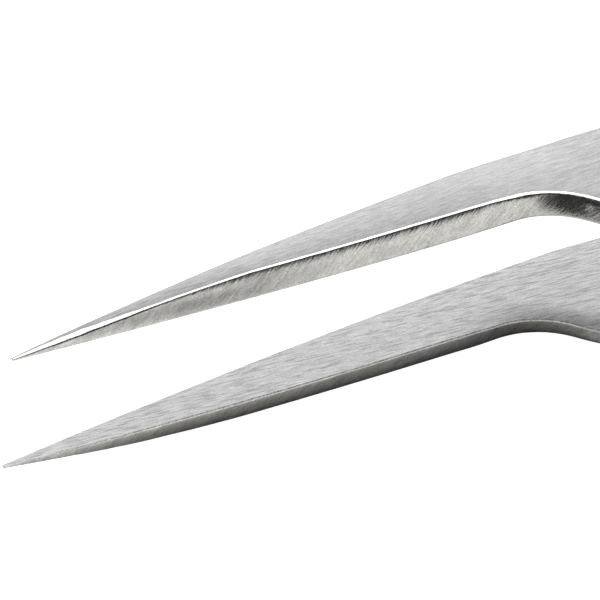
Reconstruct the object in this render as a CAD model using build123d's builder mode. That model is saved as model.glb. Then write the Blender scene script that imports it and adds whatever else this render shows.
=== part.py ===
"""Curved fine-point tweezers for planting aquariums: two mirrored spring-steel arms on a riveted tail.

Frame: +X runs along the handle towards the tail, the points are at -X and curve towards -Y, +Z is up.
The origin is on the flat outer face of the lower arm, on the handle's centre line, at mid-length.
The arms are mirror images about the middle plane, so every arm piece is built once and mirrored.
"""

from build123d import *
import math
import os

# ---------------------------------------------------------------- driving dimensions, millimetres
overall_length = 250.0
steel = 2.1  # thickness of the strip the arms are ground from
grip_gap = 8.9  # open space between the two inner faces along the grips
point_splay, splay_length = 0.25, 40.0  # each inner face falls away evenly by this much to its point
spacer_thickness = 3.0

tail_length = 26.0  # riveted stretch
spring_length = 58.0  # flexing stretch in front of the tail
tail_width = 9.0
tail_corner = 3.0

# plan view: headings are degrees from +X, turns are positive to the left
point_offset = 18.0  # how far the points lie to the side of the handle's centre line
point_width = 0.24
point_thickness = 0.12
point_taper = 24.0  # length over which the arm thins down to its point
near_heading, near_flank_radius, near_flank_turn = 19.5, 570.0, 3.72
notch_radius, notch_turn = 6.0, 47.9
heel_radius = 20.0
far_heading, far_flank_radius, far_flank_turn = 30.25, 514.0, 4.75
shoulder_radius = 44.0
blade_heading, blade_run, neck_radius = 24.6, 33.0, 47.0  # centre line: straight, then one bend

# section: flat inner face, edges that lean inwards in an arc, then a narrower flat outer face
# leans are degrees from upright, where an edge leaves the inner face
edge_radius, near_lean = 7.3, 8.0
flank_radius, flank_lean = 5.0, 6.0  # the near edge as far as the notch
notch_at, notch_blend = 33.5, 3.0
flank_taper = 12.0  # length over which the near lean fades out towards the point
point_far_lean, neck_far_lean, grip_far_lean = 23.0, 7.0, 12.0  # the far edge: more, less, more
far_lean_falls, far_lean_rises, far_lean_settles = 8.0, 34.0, 48.0
far_break, near_break = 0.05, 0.15
point_facet, point_facet_end, point_facet_fade = 0.32, 10.0, 4.0  # wider near break at the point
neck_relief, neck_relief_at, neck_relief_reach = 0.28, 42.0, 9.0

# lofts: even steps, closer together where the plan view turns
grinding = 0.02  # blades are lofted this much too thick, then cut flat
shaped_length, shaped_steps = 54.0, 27
handle_steps, spring_steps = 8, 10

# grip grooves, across the outer face of each handle
groove_count, groove_pitch, groove_depth, groove_width = 22, 2.0, 0.35, 1.1
groove_first_x = -44.0

# fasteners
rivet_radius, rivet_head_radius = 1.5, 2.4
rivet_head_rise = rivet_head_radius - rivet_radius  # countersunk at 90 degrees
rivet_spots = {"front_rivet": 106.0, "rear_rivet": 118.0}
pin_x, pin_radius, pin_foot_radius, pin_foot_height = 25.0, 1.0, 1.5, 0.7
pin_hole_radius = 1.5
pin_tip_radius = 0.4
pin_reach = 9.2  # how far the guide pin stands above the lower arm's inner face

# ---------------------------------------------------------------- derived places
point_x = -overall_length / 2
tail_end_x = overall_length / 2
tail_x = tail_end_x - tail_length
spring_x = tail_x - spring_length
half_gap = grip_gap / 2
middle_z = steel + half_gap
half_spacer = spacer_thickness / 2
half_tail = tail_width / 2
groove_middle_x = groove_first_x + groove_pitch * (groove_count - 1) / 2
middle_plane = Plane.XY.offset(middle_z)


def direction(degrees):
    """Unit vector in the plan view."""
    return Vector(math.cos(math.radians(degrees)), math.sin(math.radians(degrees)))


def handle_edge(front, side):
    """From the widest point of the handle, an easy S down to the tail's half width, then straight."""
    reach = (tail_x - front.X) / 3
    tail_start = Vector(tail_x, side * half_tail)
    Bezier(front, front + Vector(reach), tail_start - Vector(reach), tail_start)
    Line(tail_start, tail_start + Vector(2 * tail_length))


# ---------------------------------------------------------------- plan view of one arm
point = Vector(point_x, -point_offset)
across_point = direction(blade_heading + 90) * point_width / 2

with BuildLine() as near_edge:  # the hollow side of the curve
    near_flank = JernArc(point - across_point, direction(near_heading), near_flank_radius, near_flank_turn)
    notch = JernArc(near_flank @ 1, near_flank % 1, notch_radius, -notch_turn)
    heel_turn = notch_turn - near_heading - near_flank_turn
    heel = JernArc(notch @ 1, notch % 1, heel_radius, heel_turn)
    handle_edge(heel @ 1, -1)

with BuildLine() as far_edge:  # the bulging side of the curve
    far_flank = JernArc(point + across_point, direction(far_heading), far_flank_radius, -far_flank_turn)
    shoulder_turn = far_heading - far_flank_turn
    shoulder = JernArc(far_flank @ 1, far_flank % 1, shoulder_radius, -shoulder_turn)
    handle_edge(shoulder @ 1, 1)

with BuildLine() as centre_line:
    blade_centre = Line(point, point + direction(blade_heading) * blade_run)
    neck_centre = JernArc(blade_centre @ 1, blade_centre % 1, neck_radius, -blade_heading)
    neck_end = neck_centre @ 1
    Line(neck_end, Vector(tail_end_x, neck_end.Y))

neck_end_distance = blade_run + neck_centre.length
centre_wire = centre_line.wire()


def distance_at(x):
    """Distance along the centre line from the points to the handle section at x."""
    return neck_end_distance + x - neck_end.X


# ---------------------------------------------------------------- side view of one arm
def inner_z(x):
    """Height of the upper arm's inner face above the middle plane."""
    along = min(max((x - spring_x) / spring_length, 0), 1)
    ease = along * along * (3 - 2 * along)
    splay = point_splay * max(1 - (x - point_x) / splay_length, 0)
    return half_gap + splay + (half_spacer - half_gap) * ease


def thickness(distance, inner_height):
    """Arm thickness: ground thin to the point, relieved at the neck, never above the outer face."""
    to_full = min(distance / point_taper, 1)
    body = steel - (steel - point_thickness) * (1 - to_full) ** 2
    from_neck = min(abs(distance - neck_relief_at) / neck_relief_reach, 1)
    relieved = body - neck_relief * math.cos(math.pi / 2 * from_neck) ** 2
    return min(relieved, half_gap + steel - inner_height)


def near_shape(distance):
    """Radius, starting lean and corner break of the edge on the hollow side."""
    past_notch = min(max((distance - notch_at) / notch_blend, 0), 1)
    radius = flank_radius + (edge_radius - flank_radius) * past_notch
    lean = flank_lean + (near_lean - flank_lean) * past_notch
    fade = min(max((point_facet_end - distance) / point_facet_fade, 0), 1)
    return radius, lean * min(distance / flank_taper, 1), near_break + (point_facet - near_break) * fade


def far_shape(distance):
    """Radius, starting lean and corner break of the edge on the bulging side."""
    to_neck = min(max((distance - far_lean_falls) / (far_lean_rises - far_lean_falls), 0), 1)
    to_grip = min(max((distance - far_lean_rises) / (far_lean_settles - far_lean_rises), 0), 1)
    at_neck = point_far_lean + (neck_far_lean - point_far_lean) * to_neck
    return edge_radius, at_neck + (grip_far_lean - neck_far_lean) * to_grip, far_break


def edge_run(height, radius, lean):
    """How far an edge has leaned inwards at a height above the inner face."""
    start = math.radians(lean)
    return radius * (math.cos(start) - math.sqrt(1 - (math.sin(start) + height / radius) ** 2))


def edge_points(corner, inwards, height, half_width, shape):
    """Points up one edge of a section: inner corner, half way up, top of the arc, outer face."""
    radius, lean, widest_break = shape
    width = min(widest_break, 0.9 * (half_width - edge_run(height, radius, lean)))
    rise = height - width / 2
    half_run, run = edge_run(rise / 2, radius, lean), edge_run(rise, radius, lean)
    inset = [0, half_run, run, run + width]
    return [(corner + inwards * step, z) for step, z in zip(inset, (0, rise / 2, rise, height))]


def crossing(edge, place, across):
    """Where a section line through place meets one edge of the plan view, measured along across."""
    reach = across * overall_length / 4
    section_line = Edge.make_line(place - reach, place + reach)
    hit = edge.line.intersect(section_line).vertices()[0]
    return (Vector(hit) - place).dot(across)


def arm_section(distance, extra=0.0):
    """Sketch of the upper arm's cross-section at a distance along the centre line."""
    place = centre_wire.position_at(distance, position_mode=PositionMode.LENGTH)
    heading = centre_wire.tangent_at(distance, position_mode=PositionMode.LENGTH)
    across = Vector(-heading.Y, heading.X)
    near, far = crossing(near_edge, place, across), crossing(far_edge, place, across)
    inner_height, half_width = inner_z(place.X), (far - near) / 2
    height = thickness(distance, inner_height) + extra
    near_side = edge_points(near, 1, height, half_width, near_shape(distance))
    far_side = edge_points(far, -1, height, half_width, far_shape(distance))
    origin = Vector(place.X, place.Y, middle_z + inner_height)
    with BuildSketch(Plane(origin=origin, x_dir=across, z_dir=heading)) as section:
        with BuildLine():
            Line(near_side[0], far_side[0])
            ThreePointArc(far_side[0], far_side[1], far_side[2])
            Line(far_side[2], far_side[3])
            Line(far_side[3], near_side[3])
            Line(near_side[3], near_side[2])
            ThreePointArc(near_side[2], near_side[1], near_side[0])
        make_face()
    return section.sketch


def arm_sections(start, end, steps, extra=0.0):
    """Evenly spaced cross-sections between two distances along the centre line."""
    return [arm_section(start + (end - start) * step / steps, extra) for step in range(steps + 1)]


def save(part, name):
    """Labels one finished piece and writes it as a STEP file."""
    part.label = name
    export_step(part, f"parts/{name}.step")


def save_mirrored(part, name):
    """Writes the upper arm's piece and its mirror image on the lower arm."""
    save(part, f"upper_{name}")
    save(mirror(part, about=middle_plane), f"lower_{name}")


os.makedirs("parts", exist_ok=True)
outer_z = middle_z + half_gap + steel
tail_outer_z = middle_z + half_spacer + steel

# ---------------------------------------------------------------- blade with its grip
with BuildPart() as blade:
    loft(arm_sections(0, shaped_length, shaped_steps, grinding))
    loft(arm_sections(shaped_length, distance_at(spring_x), handle_steps, grinding))
    split(bisect_by=Plane.XY.offset(outer_z), keep=Keep.BOTTOM)
    with BuildSketch(Plane.XZ) as grooves:
        with Locations((groove_middle_x, outer_z)):
            with GridLocations(groove_pitch, 0, groove_count, 1):
                Polygon((-groove_width / 2, 0), (groove_width / 2, 0), (0, -groove_depth), align=None)
    extrude(amount=tail_width, both=True, mode=Mode.SUBTRACT)

with BuildPart() as upper_blade:
    add(blade.part)
    with Locations((pin_x, 0, outer_z)):
        Hole(pin_hole_radius, depth=2 * steel)

with BuildPart() as lower_blade:
    add(mirror(blade.part, about=middle_plane))
    with Locations((pin_x, 0, steel)):
        Hole(pin_radius, depth=steel)
    with Locations((pin_x, 0, 0)):
        Cylinder(pin_foot_radius, 2 * pin_foot_height, mode=Mode.SUBTRACT)

save(upper_blade.part, "upper_arm_blade")
save(lower_blade.part, "lower_arm_blade")

# ---------------------------------------------------------------- spring
with BuildPart() as spring:
    loft(arm_sections(distance_at(spring_x), distance_at(tail_x), spring_steps))

save_mirrored(spring.part, "arm_spring")

# ---------------------------------------------------------------- tail, riveted
with BuildPart() as tail:
    extrude(arm_section(distance_at(tail_x)), amount=tail_length)
    with BuildSketch(middle_plane):
        with Locations((tail_x, 0)):
            RectangleRounded(2 * tail_length, tail_width, tail_corner)
    extrude(amount=half_spacer + steel, mode=Mode.INTERSECT)
    with Locations([(x, 0, tail_outer_z) for x in rivet_spots.values()]):
        CounterSinkHole(rivet_radius, rivet_head_radius, 2 * steel, counter_sink_angle=90)

save_mirrored(tail.part, "arm_tail")

with BuildPart() as spacer:
    with BuildSketch(middle_plane):
        with Locations((tail_x, 0)):
            RectangleRounded(2 * tail_length, tail_width, tail_corner)
        with Locations((tail_x, 0)):
            Rectangle(2 * tail_length, tail_width, align=(Align.MAX, Align.CENTER), mode=Mode.SUBTRACT)
        with Locations([(x, 0) for x in rivet_spots.values()]):
            Circle(rivet_radius, mode=Mode.SUBTRACT)
    extrude(amount=half_spacer, both=True)

save(spacer.part, "tail_spacer")

# ---------------------------------------------------------------- rivets, heads flush in both tails
for name, x in rivet_spots.items():
    with BuildPart() as rivet:
        with BuildSketch(Plane.XZ) as half_rivet:
            Polygon(
                (x, middle_z),
                (x + rivet_radius, middle_z),
                (x + rivet_radius, tail_outer_z - rivet_head_rise),
                (x + rivet_head_radius, tail_outer_z),
                (x, tail_outer_z),
                align=None,
            )
        revolve(axis=Axis((x, 0, 0), (0, 0, 1)))
        mirror(about=middle_plane)
    save(rivet.part, name)

# ---------------------------------------------------------------- guide pin, pressed into the lower arm
with BuildPart() as pin:
    with Locations((pin_x, 0, 0)):
        Cylinder(pin_foot_radius, pin_foot_height, align=(Align.CENTER, Align.CENTER, Align.MIN))
        Cylinder(pin_radius, steel + pin_reach, align=(Align.CENTER, Align.CENTER, Align.MIN))
    fillet(pin.edges().group_by(Axis.Z)[-1], pin_tip_radius)

save(pin.part, "guide_pin")
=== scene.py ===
"""Curved fine-point aquascaping tweezers: looks. Lengths are worked out in millimetres, built in metres."""

import bpy
import math
import numpy as np
from mathutils import Matrix, Vector


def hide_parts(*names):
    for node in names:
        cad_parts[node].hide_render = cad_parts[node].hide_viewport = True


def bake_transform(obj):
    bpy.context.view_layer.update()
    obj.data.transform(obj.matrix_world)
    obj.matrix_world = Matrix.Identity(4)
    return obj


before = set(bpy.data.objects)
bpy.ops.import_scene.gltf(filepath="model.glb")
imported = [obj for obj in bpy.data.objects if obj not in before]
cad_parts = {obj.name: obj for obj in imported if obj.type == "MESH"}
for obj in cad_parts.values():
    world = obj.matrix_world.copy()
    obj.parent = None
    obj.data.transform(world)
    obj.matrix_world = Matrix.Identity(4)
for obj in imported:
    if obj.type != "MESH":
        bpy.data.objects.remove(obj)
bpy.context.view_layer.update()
MM = 0.001

# ---------------------------------------------------------------- the arm's plan and side views, as in CAD
POINT = np.array((-125.0, -18.0))
TAIL_END_X, TAIL_X, SPRING_X = 125.0, 99.0, 41.0
HALF_TAIL, TAIL_CORNER = 4.5, 3.0
HALF_GAP, HALF_SPACER, STEEL = 4.45, 1.5, 2.1
POINT_SPLAY, SPLAY_LENGTH = 0.25, 40.0
MIDDLE_Z, OUTER, TAIL_OUTER = HALF_GAP + STEEL, HALF_GAP + STEEL, HALF_SPACER + STEEL
POINT_WIDTH, POINT_THICKNESS, POINT_TAPER = 0.24, 0.12, 24.0
BLADE_HEADING, BLADE_RUN, NECK_RADIUS = 24.6, 33.0, 47.0
NEAR_HEADING, NEAR_FLANK_RADIUS, NEAR_FLANK_TURN = 19.5, 570.0, 3.72
NOTCH_RADIUS, NOTCH_TURN, HEEL_RADIUS = 6.0, 47.9, 20.0
FAR_HEADING, FAR_FLANK_RADIUS, FAR_FLANK_TURN, SHOULDER_RADIUS = 30.25, 514.0, 4.75, 44.0
NECK_RELIEF, NECK_RELIEF_AT, NECK_RELIEF_REACH = 0.28, 42.0, 9.0

# ---------------------------------------------------------------- the arm's section
EDGE_RADIUS, FLANK_RADIUS = 7.3, 5.0  # the arcs that the edges lean inwards in
FLANK_LEAN, NEAR_LEAN, FLANK_TAPER = 6.0, 8.0, 12.0  # degrees; the near lean fades out towards the point
POINT_FAR_LEAN, NECK_FAR_LEAN, GRIP_FAR_LEAN = 23.0, 7.0, 12.0
FAR_LEAN_FALLS, FAR_LEAN_RISES, FAR_LEAN_SETTLES = 8, 34, 48
NOTCH_AT, NOTCH_BLEND = 33.5, 3
CORNER_ROUND, NOTCH_CORNER_EXTRA = 0.18, 0.5
BURR_HEIGHT = 0.18
FAR_FACET = 0.06
CROWN = 0.06  # the outer faces bulge this much across their width
ROLL_OFF, ROLL_WIDTH = 0.12, 1.8  # the inner face falls away beside the notch
FACET_SLOPE = math.radians(64)  # how far up the broken corner faces
FACE, EDGE, CORNER, BURR = 0, 1, 2, 3  # material slots of an arm
GROOVE_X, GROOVE_PITCH, GROOVE_COUNT, GROOVE_DEPTH, GROOVE_HALF = -44.0, 2.0, 22, 0.35, 0.55
PIN_X, PIN_HOLE_RADIUS = 25.0, 1.5
SHARP_ANGLE = 16.5  # degrees; anything less is smooth


def unit(degrees):
    """Unit vector in plan, from a heading."""
    return np.array((math.cos(math.radians(degrees)), math.sin(math.radians(degrees))))


def arc(path, radius, turn, pieces):
    """Adds an arc to a path of (x, y, heading in degrees); a negative turn goes to the right."""
    x, y, heading = path[-1]
    side = 1 if turn > 0 else -1
    centre = np.array((x, y)) + side * radius * unit(heading + 90)
    for step in range(1, pieces + 1):
        now = heading + turn * step / pieces
        spot = centre - side * radius * unit(now + 90)
        path.append((spot[0], spot[1], now))


def line(path, length, pieces):
    """Adds a straight run to a path."""
    x, y, heading = path[-1]
    for step in range(1, pieces + 1):
        spot = np.array((x, y)) + unit(heading) * length * step / pieces
        path.append((spot[0], spot[1], heading))


def handle(path, side):
    """The easy S from the belly to the tail's half width, the straight tail and its rounded corner."""
    x0, y0, _ = path[-1]
    reach, y1 = (TAIL_X - x0) / 3, side * HALF_TAIL
    for step in range(1, 801):
        t = step / 800
        x = x0 * (1 - t) ** 3 + 3 * (x0 + reach) * t * (1 - t) ** 2
        x = x + 3 * (TAIL_X - reach) * t * t * (1 - t) + TAIL_X * t**3
        y = y0 * ((1 - t) ** 3 + 3 * t * (1 - t) ** 2) + y1 * (3 * t * t * (1 - t) + t**3)
        dx = 3 * reach
        dy = 6 * t * (1 - t) * (y1 - y0)
        path.append((x, y, math.degrees(math.atan2(dy, dx))))
    line(path, TAIL_END_X - TAIL_CORNER - TAIL_X, 40)
    arc(path, TAIL_CORNER, -side * 90, 60)


across = unit(BLADE_HEADING + 90) * POINT_WIDTH / 2
near_edge = [(*(POINT - across), NEAR_HEADING)]
arc(near_edge, NEAR_FLANK_RADIUS, NEAR_FLANK_TURN, 400)
arc(near_edge, NOTCH_RADIUS, -NOTCH_TURN, 200)
arc(near_edge, HEEL_RADIUS, -near_edge[-1][2], 160)
handle(near_edge, -1)
far_edge = [(*(POINT + across), FAR_HEADING)]
arc(far_edge, FAR_FLANK_RADIUS, -FAR_FLANK_TURN, 500)
arc(far_edge, SHOULDER_RADIUS, -far_edge[-1][2], 240)
handle(far_edge, 1)
centre = [(*POINT, BLADE_HEADING)]
line(centre, BLADE_RUN, 330)
arc(centre, NECK_RADIUS, -BLADE_HEADING, 200)
NECK_END = centre[-1]
NECK_END_DISTANCE = BLADE_RUN + NECK_RADIUS * math.radians(BLADE_HEADING)
near_edge, far_edge = np.array(near_edge), np.array(far_edge)


def centre_at(distance):
    """Place and heading on the arm's centre line."""
    if distance < BLADE_RUN:
        return POINT + unit(BLADE_HEADING) * distance, BLADE_HEADING
    if distance < NECK_END_DISTANCE:
        turn = math.degrees((distance - BLADE_RUN) / NECK_RADIUS)
        bend = POINT + unit(BLADE_HEADING) * BLADE_RUN - NECK_RADIUS * unit(BLADE_HEADING + 90)
        return bend + NECK_RADIUS * unit(BLADE_HEADING + 90 - turn), BLADE_HEADING - turn
    return np.array((NECK_END[0] + distance - NECK_END_DISTANCE, NECK_END[1])), 0.0


def crossing(edge, place, heading):
    """Point and heading of an edge where the section line through place meets it."""
    ahead = (edge[:, :2] - place) @ unit(heading)
    i = int(np.argmax(ahead > 1e-9))
    if i == 0:
        return edge[0] if ahead[0] > 0 else edge[-1]
    share = -ahead[i - 1] / (ahead[i] - ahead[i - 1])
    return edge[i - 1] + (edge[i] - edge[i - 1]) * share


def inner_height(x):
    """Height of the inner face above the middle plane."""
    along = min(max((x - SPRING_X) / (TAIL_X - SPRING_X), 0), 1)
    splay = POINT_SPLAY * max(1 - (x - POINT[0]) / SPLAY_LENGTH, 0)
    return HALF_GAP + splay + (HALF_SPACER - HALF_GAP) * along * along * (3 - 2 * along)


def thickness(distance, base):
    """Arm thickness, with its inner face base above the middle plane."""
    to_full = min(distance / POINT_TAPER, 1)
    body = STEEL - (STEEL - POINT_THICKNESS) * (1 - to_full) ** 2
    from_neck = min(abs(distance - NECK_RELIEF_AT) / NECK_RELIEF_REACH, 1)
    return min(body - NECK_RELIEF * math.cos(math.pi / 2 * from_neck) ** 2, OUTER - base)


def groove(x):
    """Depth of the grip grooves at x."""
    if not GROOVE_X - 1 < x < GROOVE_X + GROOVE_PITCH * (GROOVE_COUNT - 1) + 1:
        return 0.0
    off = abs((x - GROOVE_X + GROOVE_PITCH / 2) % GROOVE_PITCH - GROOVE_PITCH / 2)
    return GROOVE_DEPTH * max(1 - off / GROOVE_HALF, 0)


def ramp(value, start, end):
    """0 up to start, 1 from end on, even in between."""
    return min(max((value - start) / (end - start), 0), 1)


def facet_length(distance):
    """Slant width of the polished corner: wide at the point, narrow behind it, never quite even."""
    fade = 1 - ramp(distance, 6, 10)
    neck = ramp(distance, 33, 37)
    wobble = 1 + 0.1 * math.sin(1.7 * distance) + 0.12 * math.sin(3.9 * distance + 1)
    return (0.085 + 0.18 * fade + 0.025 * neck) * wobble


def edge_profile(height, distance, half_width, polish):
    """Inset and height up one edge, from the inner face to the outer one, with each stretch's material."""
    neck = ramp(distance, NOTCH_AT, NOTCH_AT + NOTCH_BLEND)
    radius = FLANK_RADIUS + (EDGE_RADIUS - FLANK_RADIUS) * neck if polish else EDGE_RADIUS
    near_lean = (FLANK_LEAN + (NEAR_LEAN - FLANK_LEAN) * neck) * min(distance / FLANK_TAPER, 1)
    to_neck = ramp(distance, FAR_LEAN_FALLS, FAR_LEAN_RISES)
    to_grip = ramp(distance, FAR_LEAN_RISES, FAR_LEAN_SETTLES)
    far_lean = POINT_FAR_LEAN + (NECK_FAR_LEAN - POINT_FAR_LEAN) * to_neck
    far_lean += (GRIP_FAR_LEAN - NECK_FAR_LEAN) * to_grip
    first = math.radians(near_lean if polish else far_lean)
    deep = ramp(distance, 35, 44) if polish else 0  # the corner is rounder inside the notch
    corner = min(CORNER_ROUND + NOTCH_CORNER_EXTRA * deep, 0.35 * half_width)
    facet = min(facet_length(distance) if polish else FAR_FACET, 0.6 * half_width / math.sin(FACET_SLOPE))
    burr = min(BURR_HEIGHT, 0.1 * height)
    rise = height - burr - corner * math.sin(FACET_SLOPE) - facet * math.cos(FACET_SLOPE)
    top = math.asin((rise + radius * math.sin(first)) / (radius - corner))  # lean where the corner begins
    points = [(burr * 0.34, 0.0, BURR), (burr * 0.11, burr * 0.4, EDGE)]
    for step in range(11):
        lean = first + (top - first) * step / 10
        inset = radius * (math.cos(first) - math.cos(lean))
        points.append((inset, burr + radius * (math.sin(lean) - math.sin(first)), EDGE))
    inset, rise, _ = points[-1]
    for step in range(1, 5):
        lean = top + (FACET_SLOPE - top) * step / 4
        last = top + (FACET_SLOPE - top) * (step - 1) / 4
        inset += corner * (math.cos(last) - math.cos(lean))
        rise += corner * (math.sin(lean) - math.sin(last))
        points.append((inset, rise, EDGE if step < 4 else CORNER if polish else FACE))
    points.append((inset + facet * math.sin(FACET_SLOPE), rise + facet * math.cos(FACET_SLOPE), FACE))
    return points


def stations():
    """Distances along the centre line: closest together at the point, the neck and the grip grooves."""
    marks = [0, 0.15, 0.4, 0.7, 1.0, 1.5, 2.0, 2.5]
    marks += list(np.arange(3.0, 60.0, 0.5))
    to_distance = NECK_END_DISTANCE - NECK_END[0]
    first, last = GROOVE_X - GROOVE_HALF, GROOVE_X + GROOVE_PITCH * (GROOVE_COUNT - 1) + GROOVE_HALF
    marks += [x + to_distance for x in np.arange(-70.0, first - 0.5, 2.0)]
    for number in range(GROOVE_COUNT):
        middle = GROOVE_X + number * GROOVE_PITCH
        marks += [middle + off + to_distance for off in (-0.8, -0.55, -0.3, -0.08, 0.08, 0.3, 0.55, 0.8)]
    marks += [x + to_distance for x in np.arange(last + 1.0, SPRING_X, 2.0)]
    marks += [x + to_distance for x in np.arange(SPRING_X, TAIL_X, 1.45)]
    marks += [x + to_distance for x in np.arange(TAIL_X, TAIL_END_X - TAIL_CORNER, 2.3)]
    for angle in range(0, 91, 9):
        marks.append(TAIL_END_X - TAIL_CORNER * (1 - math.sin(math.radians(angle))) + to_distance)
    return sorted(marks)


COLUMNS = 14


def arm_rings():
    """One closed ring of (x, y, height above the middle plane, material) for each station."""
    rings = []
    for distance in stations():
        place, heading = centre_at(distance)
        near, far = crossing(near_edge, place, heading), crossing(far_edge, place, heading)
        x = place[0]
        base = inner_height(x)
        height = thickness(distance, base)
        limit = height - groove(x)
        half_width = math.dist(near[:2], far[:2]) / 2
        crown = CROWN * ramp(half_width, 0.6, 2.1)
        roll = ROLL_OFF * ramp(distance, 32, 38) * (1 - ramp(distance, 54, 62))
        sides = []
        for spot, turn in ((near, 90), (far, -90)):
            profile = edge_profile(height - crown, distance, half_width, turn > 0)
            inward = unit(spot[2] + turn)
            dip = [roll * (1 - rise / height) if turn > 0 else 0 for _, rise, _ in profile]
            heights = [base + min(rise + low, limit) for (_, rise, _), low in zip(profile, dip)]
            side = [(*(spot[:2] + inward * inset), z, slot) for (inset, _, slot), z in zip(profile, heights)]
            sides.append(side)
        near_side, far_side = sides
        ring = list(near_side)
        for column in range(1, COLUMNS):
            share = column / COLUMNS
            a, b = np.array(near_side[-1][:3]), np.array(far_side[-1][:3])
            x, y, z = a + (b - a) * share
            bulge = crown * (1 - (2 * share - 1) ** 2)
            ring.append((x, y, min(z + bulge, base + limit), FACE))
        backwards = far_side[::-1]
        slots = [point[3] for point in backwards[1:]] + [FACE]  # a stretch takes its slot from its lower end
        ring += [(*point[:3], slot) for point, slot in zip(backwards, slots)]
        for column in range(1, COLUMNS):
            share = column / COLUMNS
            a, b = np.array(far_side[0][:2]), np.array(near_side[0][:2])
            from_near = 2 * half_width * (1 - share)
            ring.append((*(a + (b - a) * share), base + roll * max(1 - from_near / ROLL_WIDTH, 0) ** 2, FACE))
        rings.append(ring)
    return rings


RINGS = arm_rings()


def arm(name, side):
    """One whole arm as a single mesh: side 1 is the upper arm, -1 its mirror image."""
    around = len(RINGS[0])
    vertices = [(x * MM, y * MM, (MIDDLE_Z + side * z) * MM) for ring in RINGS for x, y, z, _ in ring]
    faces, slots = [], []
    for i in range(len(RINGS) - 1):
        for j in range(around):
            k = (j + 1) % around
            quad = (i * around + j, i * around + k, (i + 1) * around + k, (i + 1) * around + j)
            faces.append(quad if side < 0 else quad[::-1])
            slots.append(RINGS[i][j][3])
    half = (around - 2 * (COLUMNS - 1)) // 2
    for end, flip in ((0, side > 0), (len(RINGS) - 1, side < 0)):
        near = [end * around + j for j in range(half)]
        far = [end * around + 2 * half + COLUMNS - 2 - j for j in range(half)]
        outer = [end * around + half + column for column in range(COLUMNS - 1)]
        inner = [end * around + 2 * half + COLUMNS - 1 + column for column in range(COLUMNS - 1)]
        walls = [[near[0], near[1], far[1], far[0], *inner]]
        walls += [[near[j], near[j + 1], far[j + 1], far[j]] for j in range(1, half - 2)]
        walls += [[near[-2], near[-1], *outer, far[-1], far[-2]]]
        faces += [wall[::-1] if flip else wall for wall in walls]
        slots += [EDGE] * len(walls)
    mesh = bpy.data.meshes.new(name)
    mesh.from_pydata(vertices, [], faces)
    mesh.polygons.foreach_set("material_index", slots)
    return mesh


def lathe(name, cuts, side):
    """Round cutters: each is an x and a list of (radius, height above the middle plane)."""
    vertices, faces, turn = [], [], 64
    for x, outline in cuts:
        first = len(vertices)
        for radius, z in outline:
            for step in range(turn):
                a = 2 * math.pi * step / turn
                place = (x + radius * math.cos(a), radius * math.sin(a), MIDDLE_Z + side * z)
                vertices.append([value * MM for value in place])
        rows = len(outline)
        top = first + (rows - 1) * turn
        sheets = [list(range(first, first + turn))[::-1], list(range(top, top + turn))]
        for row in range(rows - 1):
            for step in range(turn):
                a, b = first + row * turn + step, first + row * turn + (step + 1) % turn
                sheets.append([a, b, b + turn, a + turn])
        faces += [sheet if side > 0 else sheet[::-1] for sheet in sheets]
    mesh = bpy.data.meshes.new(name)
    mesh.from_pydata(vertices, [], faces)
    mesh.polygons.foreach_set("material_index", [EDGE] * len(faces))
    return bpy.data.objects.new(name, mesh)


def finished_arm(name, side, cuts, materials):
    """The arm with its holes cut, its true corners kept sharp and everything else smooth."""
    mesh = arm(name, side)
    for material in materials:
        mesh.materials.append(material)
    piece = bpy.data.objects.new(name, mesh)
    bpy.context.scene.collection.objects.link(piece)
    cutter = lathe(name + "_cutter", cuts, side)
    for material in materials:
        cutter.data.materials.append(material)
    bpy.context.scene.collection.objects.link(cutter)
    cut = piece.modifiers.new("holes", "BOOLEAN")
    cut.operation, cut.solver, cut.object = "DIFFERENCE", "EXACT", cutter
    bpy.context.view_layer.update()
    final = bpy.data.meshes.new_from_object(piece.evaluated_get(bpy.context.evaluated_depsgraph_get()))
    piece.modifiers.clear()
    piece.data = final
    bpy.data.objects.remove(cutter)
    final.polygons.foreach_set("use_smooth", [True] * len(final.polygons))
    final.set_sharp_from_angle(angle=math.radians(SHARP_ANGLE))
    return piece


# ---------------------------------------------------------------- materials


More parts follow.
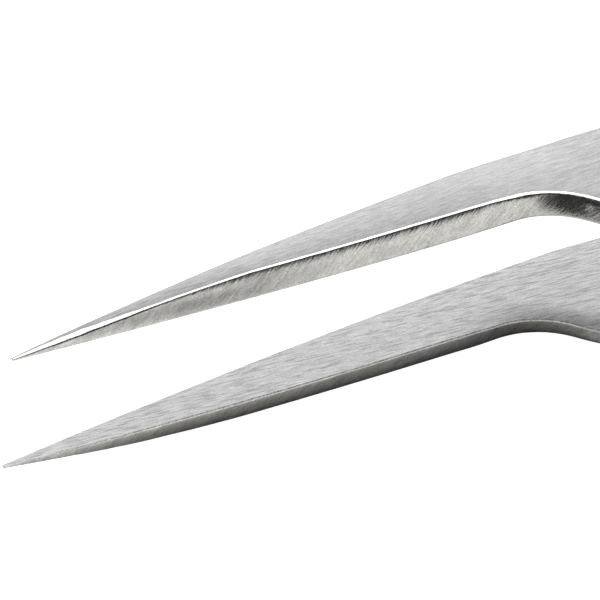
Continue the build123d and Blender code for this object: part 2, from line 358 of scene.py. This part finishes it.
class Steel:
    """A metal material with helpers for stretched noise, all in millimetres on the object."""

    def __init__(self, name, colour, roughness):
        self.material = bpy.data.materials.new(name)
        self.material.use_nodes = True
        self.nodes, self.links = self.material.node_tree.nodes, self.material.node_tree.links
        self.shader = self.nodes["Principled BSDF"]
        self.shader.inputs["Metallic"].default_value = 1.0
        self.shader.inputs["Base Color"].default_value = (*colour, 1)
        self.shader.inputs["Roughness"].default_value = roughness
        self.place = self.nodes.new("ShaderNodeTexCoord").outputs["Object"]

    def grain(self, axis, degrees, per_mm, detail=2.0, shift=0.0):
        """Noise turned about an axis, then stretched: per_mm is how fast it changes along x, y and z."""
        turned = self.nodes.new("ShaderNodeVectorRotate")
        turned.rotation_type = axis + "_AXIS"
        turned.inputs["Angle"].default_value = math.radians(degrees)
        self.links.new(self.place, turned.inputs["Vector"])
        scaled = self.nodes.new("ShaderNodeMapping")
        scaled.inputs["Scale"].default_value = [rate / MM for rate in per_mm]
        scaled.inputs["Location"].default_value = (shift, shift * 1.7, shift * 0.6)
        self.links.new(turned.outputs["Vector"], scaled.inputs["Vector"])
        noise = self.nodes.new("ShaderNodeTexNoise")
        noise.inputs["Scale"].default_value = 1.0
        noise.inputs["Detail"].default_value = detail
        self.links.new(scaled.outputs["Vector"], noise.inputs["Vector"])
        return noise.outputs["Fac"]

    def mixed(self, a, b, share):
        """a and b blended evenly over the whole surface."""
        mix = self.nodes.new("ShaderNodeMix")
        mix.inputs["Factor"].default_value = share
        self.links.new(a, mix.inputs["A"])
        self.links.new(b, mix.inputs["B"])
        return mix.outputs["Result"]

    def ranged(self, value, low, high, start=0.3, end=0.7):
        remap = self.nodes.new("ShaderNodeMapRange")
        for label, number in (("From Min", start), ("From Max", end), ("To Min", low), ("To Max", high)):
            remap.inputs[label].default_value = number
        self.links.new(value, remap.inputs["Value"])
        return remap.outputs["Result"]

    def tint(self, value, dark, light):
        """Base colour running between two colours with a value."""
        ramp = self.nodes.new("ShaderNodeValToRGB")
        ramp.color_ramp.elements[0].position, ramp.color_ramp.elements[1].position = 0.36, 0.64
        ramp.color_ramp.elements[0].color, ramp.color_ramp.elements[1].color = (*dark, 1), (*light, 1)
        self.links.new(value, ramp.inputs["Fac"])
        self.links.new(ramp.outputs["Color"], self.shader.inputs["Base Color"])

    def rough(self, value, low, high):
        self.links.new(self.ranged(value, low, high), self.shader.inputs["Roughness"])

    def bump(self, value, height_mm, below=None):
        bump = self.nodes.new("ShaderNodeBump")
        bump.inputs["Strength"].default_value = 1.0
        bump.inputs["Distance"].default_value = height_mm * MM
        self.links.new(value, bump.inputs["Height"])
        if below:
            self.links.new(below, bump.inputs["Normal"])
        self.links.new(bump.outputs["Normal"], self.shader.inputs["Normal"])
        return bump.outputs["Normal"]


def brushed(name, degrees, shift, contrast=1.0, level=0.6):
    """Brushed faces: fine and broad scratches along a heading, grit, and short dark scratches."""
    steel = Steel(name, (0.66, 0.66, 0.66), 0.4)
    steel.shader.inputs["Metallic"].default_value = 0.82  # the scratches scatter some light every way
    fine = steel.grain("Z", -degrees, (0.9, 17.0, 2.0), 2.0, shift)
    grit = steel.grain("Z", -degrees, (7.0, 15.0, 4.0), 1.0, shift + 9)
    broad = steel.grain("Z", -degrees, (0.08, 0.8, 1.0), 1.0, shift + 5)
    short = steel.grain("Z", -degrees, (0.7, 9.0, 1.0), 0.0, shift + 14)
    scratch = steel.ranged(short, 0.5, 0.2, 0.58, 0.66)
    surface = steel.mixed(steel.mixed(fine, grit, 0.3), broad, 0.08)
    spread = 0.17 * contrast
    tone = steel.mixed(surface, scratch, 0.28 * contrast - 0.2)
    steel.tint(tone, [level - spread] * 3, [level + spread] * 3)
    steel.rough(fine, 0.28, 0.36)
    steel.bump(steel.mixed(fine, grit, 0.3), 0.007 * contrast)
    return steel.material


def ground_edge(name, level):
    """Ground edges: slanting strokes over slow waves, faintly warm in colour."""
    warm = np.array((1, 0.985, 0.94))
    steel = Steel(name, level * warm, 0.25)
    strokes = steel.grain("Y", 45, (1.8, 0.4, 9.0), 3.0, 2.0)
    waves = steel.grain("Y", 45, (0.5, 0.3, 1.3), 2.0, 9.0)
    grit = steel.grain("Y", 45, (9.0, 9.0, 14.0), 1.0, 15.0)
    surface = steel.mixed(steel.mixed(strokes, waves, 0.4), grit, 0.4)
    steel.tint(surface, level * 0.6 * warm, level * 1.3 * warm)
    steel.rough(strokes, 0.14, 0.22)
    below = steel.bump(waves, 0.02)
    steel.bump(strokes, 0.01, below)
    return steel.material


def worn_burr():
    """The line where edge meets inner face: bright, broken up into specks."""
    steel = Steel("worn_burr", (0.5, 0.5, 0.49), 0.4)
    specks = steel.grain("Z", 0, (5.0, 5.0, 5.0), 2.0, 6.0)
    steel.tint(specks, (0.4, 0.395, 0.38), (0.95, 0.95, 0.94))
    steel.bump(specks, 0.2)
    return steel.material


def polished(name, colour, roughness):
    """Polished steel with faint fine scratches."""
    steel = Steel(name, colour, roughness)
    fine = steel.grain("Z", 0, (0.6, 6.0, 6.0), 2.0, 4.0)
    steel.rough(fine, roughness * 0.8, roughness * 1.2)
    steel.bump(fine, 0.001)
    return steel.material


edge_steel = ground_edge("ground_edge", 0.76)
corner_steel = polished("polished_corner", (0.76, 0.76, 0.75), 0.14)
burr_steel = worn_burr()
# cutters as (radius, height above the middle plane); each runs clear past the face that it opens in
guide_hole = (PIN_X, [(PIN_HOLE_RADIUS, 4.0), (PIN_HOLE_RADIUS, OUTER - 0.15), (2.15, OUTER + 0.5)])
pin_seat = (PIN_X, [(1.02, 4.0), (1.02, OUTER - 0.7), (1.52, OUTER - 0.7), (1.52, OUTER + 1)])
rivet_seat = [(1.51, 1.0), (1.51, TAIL_OUTER - 0.9), (2.91, TAIL_OUTER + 0.5)]
rivet_seats = [(x, rivet_seat) for x in (106.0, 118.0)]

upper_materials = [brushed("brushed_upper", 24, 0), edge_steel, corner_steel, burr_steel]
upper = finished_arm("upper_arm_whole", 1, [guide_hole, *rivet_seats], upper_materials)
lower_materials = [brushed("brushed_lower", 18, 30, 1.75, 0.7), edge_steel, corner_steel, burr_steel]
lower = finished_arm("lower_arm_whole", -1, [pin_seat, *rivet_seats], lower_materials)
for whole, body in ((upper, "upper_arm"), (lower, "lower_arm")):
    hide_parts(body + "_blade", body + "_spring", body + "_tail")
    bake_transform(whole)

# ---------------------------------------------------------------- CAD pieces that keep their shape


def dress(node, material):
    """Gives a CAD piece its material."""
    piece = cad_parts[node]
    piece.data.materials.clear()
    piece.data.materials.append(material)


dress("guide_pin", polished("pin_steel", (0.86, 0.86, 0.85), 0.12))
rivet = brushed("rivet_steel", 70, 11)
dress("front_rivet", rivet)
dress("rear_rivet", rivet)
dress("tail_spacer", brushed("spacer_steel", 0, 17))

# ---------------------------------------------------------------- floor, light and camera
floor_mesh = bpy.data.meshes.new("floor")
floor_rim = [(3 * math.cos(math.pi * i / 32), 3 * math.sin(math.pi * i / 32), 0) for i in range(64)]
floor_mesh.from_pydata(floor_rim, [], [list(range(64))])
floor = bpy.data.objects.new("floor", floor_mesh)
bpy.context.scene.collection.objects.link(floor)


def paper(name, *ramps):
    """Matt paper whose grey is a product of ramps: (direction on the floor, start mm, end mm, near, far)."""
    paint = bpy.data.materials.new(name)
    paint.use_nodes = True
    nodes, links = paint.node_tree.nodes, paint.node_tree.links
    place = nodes.new("ShaderNodeTexCoord").outputs["Object"]
    level = None
    for direction, start, end, near, far in ramps:
        along = nodes.new("ShaderNodeVectorMath")
        along.operation = "DOT_PRODUCT"
        along.inputs[1].default_value = (*direction, 0)
        links.new(place, along.inputs[0])
        grey = nodes.new("ShaderNodeMapRange")
        grey.inputs["From Min"].default_value, grey.inputs["From Max"].default_value = start * MM, end * MM
        grey.inputs["To Min"].default_value, grey.inputs["To Max"].default_value = near, far
        links.new(along.outputs["Value"], grey.inputs["Value"])
        if level:
            product = nodes.new("ShaderNodeMath")
            product.operation = "MULTIPLY"
            links.new(level, product.inputs[0])
            links.new(grey.outputs["Result"], product.inputs[1])
            level = product.outputs["Value"]
        else:
            level = grey.outputs["Result"]
    links.new(level, nodes["Principled BSDF"].inputs["Base Color"])
    nodes["Principled BSDF"].inputs["Roughness"].default_value = 0.9
    nodes["Principled BSDF"].inputs["Specular IOR Level"].default_value = 0.1
    return paint


# painted light and shade on the floor: ramps that darken it near the arms, where their shadow falls, and
# lighten it about the points
painted_floor_shade_and_light = [
    ((0, -1), 30, 100, 0.78, 0.98),  # painted shade: darker near the tool, paler further in front
    ((0.358, -0.934), -28.5, -25, 0.3, 1),  # painted shadow: dark in a strip along the hollow side of the blades
    ((1, 0), -112, -92, 1.22, 1),  # painted light: paler about the points
]
floor_with_painted_light_and_shade = paper("floor_with_painted_light_and_shade", *painted_floor_shade_and_light)

# the floor looks plain white to the camera, and only reflections and bounced light see its greys, which are
# painted shade near the arms and painted light about the points
floor_tree = floor_with_painted_light_and_shade.node_tree
floor_shader = floor_tree.nodes["Principled BSDF"]
floor_shader.inputs["Emission Color"].default_value = (1, 1, 1, 1)
seen_floor = floor_tree.nodes.new("ShaderNodeLightPath").outputs["Is Camera Ray"]
floor_tree.links.new(seen_floor, floor_shader.inputs["Emission Strength"])
floor_mesh.materials.append(floor_with_painted_light_and_shade)

# Two sheets back to back, standing in front and hidden from the camera, in line with what the flanks reflect.
# The notch reflects the black one, which is painted shade: a dark sheet standing in for dark surroundings,
# darkest at its start and paler towards its far end.


def card(name, start, reach, paint):
    """Upright sheet, 60 mm high, from start to a spot reach (mm) further along X and further in front."""
    mesh = bpy.data.meshes.new(name)
    spots = [(start[0] + share * reach, start[1] - share * reach) for share in (0, 1)]
    corners = [(x * MM, y * MM, z * MM) for (x, y), z in zip((*spots, *spots[::-1]), (1, 0.2, 60, 60))]
    mesh.from_pydata(corners, [], [(0, 1, 2, 3)])
    mesh.materials.append(paint)
    piece = bpy.data.objects.new(name, mesh)
    piece.visible_camera = False
    bpy.context.scene.collection.objects.link(piece)


# painted shade: the black sheet, seen only in reflections, dark at its start and paler along it
card("painted_shade_card", (-98.0, -23.8), 44.3, paper("painted_shade_card_paper", ((0.707, -0.707), -26.6, 7.4, 0.04, 0.8)))
card("card_front", (-98.3, -24.1), 44.3, paper("card_white", ((0.707, -0.707), -26.6, 7.4, 0.95, 0.95)))

ELEVATION, AZIMUTH, ROLL = math.radians(41.65), math.radians(-10.05), math.radians(6.4)
CAMERA_DISTANCE = 0.567
level_back = Vector((math.sin(AZIMUTH), -math.cos(AZIMUTH), 0))
back = level_back * math.cos(ELEVATION) + Vector((0, 0, math.sin(ELEVATION)))
level_right = Vector((math.cos(AZIMUTH), math.sin(AZIMUTH), 0))
level_up = back.cross(level_right)
right = level_right * math.cos(ROLL) + level_up * math.sin(ROLL)
up = back.cross(right)
target = Vector(((POINT[0] + 20.22) * MM, (POINT[1] + 10.81) * MM, MIDDLE_Z * MM))
camera = bpy.data.objects.new("camera", bpy.data.cameras.new("camera"))
camera.data.sensor_width, camera.data.lens = 36.0, 514.8
camera.data.clip_start, camera.data.clip_end = 0.01, 20.0
turned = Matrix((right, up, back)).transposed().to_4x4()
camera.matrix_world = Matrix.Translation(target + back * CAMERA_DISTANCE) @ turned
bpy.context.scene.collection.objects.link(camera)
bpy.context.scene.camera = camera

fill = bpy.data.objects.new("fill", bpy.data.lights.new("fill", "AREA"))
fill.data.shape, fill.data.size, fill.data.energy = "DISK", 0.9, 3.0
fill.location = (0, 0.35, 0.65)
fill.visible_glossy = False
bpy.context.scene.collection.objects.link(fill)


ROOM_LIGHT = 0.04  # what comes from the dark parts of the studio


def studio():
    """Soft studio light as a sky: bright overhead and behind, a low reflector on the right, dark in front."""
    world = bpy.data.worlds.new("studio")
    bpy.context.scene.world = world
    world.use_nodes = True
    nodes, links = world.node_tree.nodes, world.node_tree.links
    background = nodes["Background"]
    background.inputs["Color"].default_value = (1, 1, 1, 1)
    toward = nodes.new("ShaderNodeTexCoord").outputs["Generated"]

    def facing(direction):
        """How far a ray points towards a direction, from -1 to 1."""
        dot = nodes.new("ShaderNodeVectorMath")
        dot.operation = "DOT_PRODUCT"
        dot.inputs[1].default_value = direction
        links.new(toward, dot.inputs[0])
        return dot.outputs["Value"]

    def edge(value, off, on, to=1.0):
        """0 at off rising smoothly to the level given at on."""
        remap = nodes.new("ShaderNodeMapRange")
        remap.interpolation_type = "SMOOTHSTEP"
        for label, number in (("From Min", off), ("From Max", on), ("To Min", 0.0), ("To Max", to)):
            remap.inputs[label].default_value = number
        links.new(value, remap.inputs["Value"])
        return remap.outputs["Result"]

    def combine(operation, a, b):
        """Two values, or a value and a number, through one Math node."""
        node = nodes.new("ShaderNodeMath")
        node.operation = operation
        for socket, value in zip(node.inputs, (a, b)):
            if isinstance(value, (int, float)):
                socket.default_value = value
            else:
                links.new(value, socket)
        return node.outputs["Value"]

    height = facing((0, 0, 1))
    front = facing((math.sin(AZIMUTH), -math.cos(AZIMUTH), 0))
    rightward = facing((math.cos(math.radians(18)), math.sin(math.radians(18)), 0))
    across_top = combine("MULTIPLY", edge(front, 0.2, 0.1, 2.3), edge(front, -0.35, -0.2))
    overhead = combine("MULTIPLY", across_top, edge(height, 0.5, 0.7))
    behind = edge(front, -0.45, -0.85, 1.22)
    reflector = combine("MULTIPLY", edge(rightward, -0.1, 0.3, 1.1), edge(height, 0.06, -0.06))
    total = combine("ADD", combine("MAXIMUM", combine("MAXIMUM", overhead, behind), reflector), ROOM_LIGHT)
    seen = nodes.new("ShaderNodeLightPath").outputs["Is Camera Ray"]  # the camera sees plain white
    links.new(combine("MAXIMUM", total, seen), background.inputs["Strength"])


studio()
bpy.context.scene.view_settings.view_transform = "Standard"
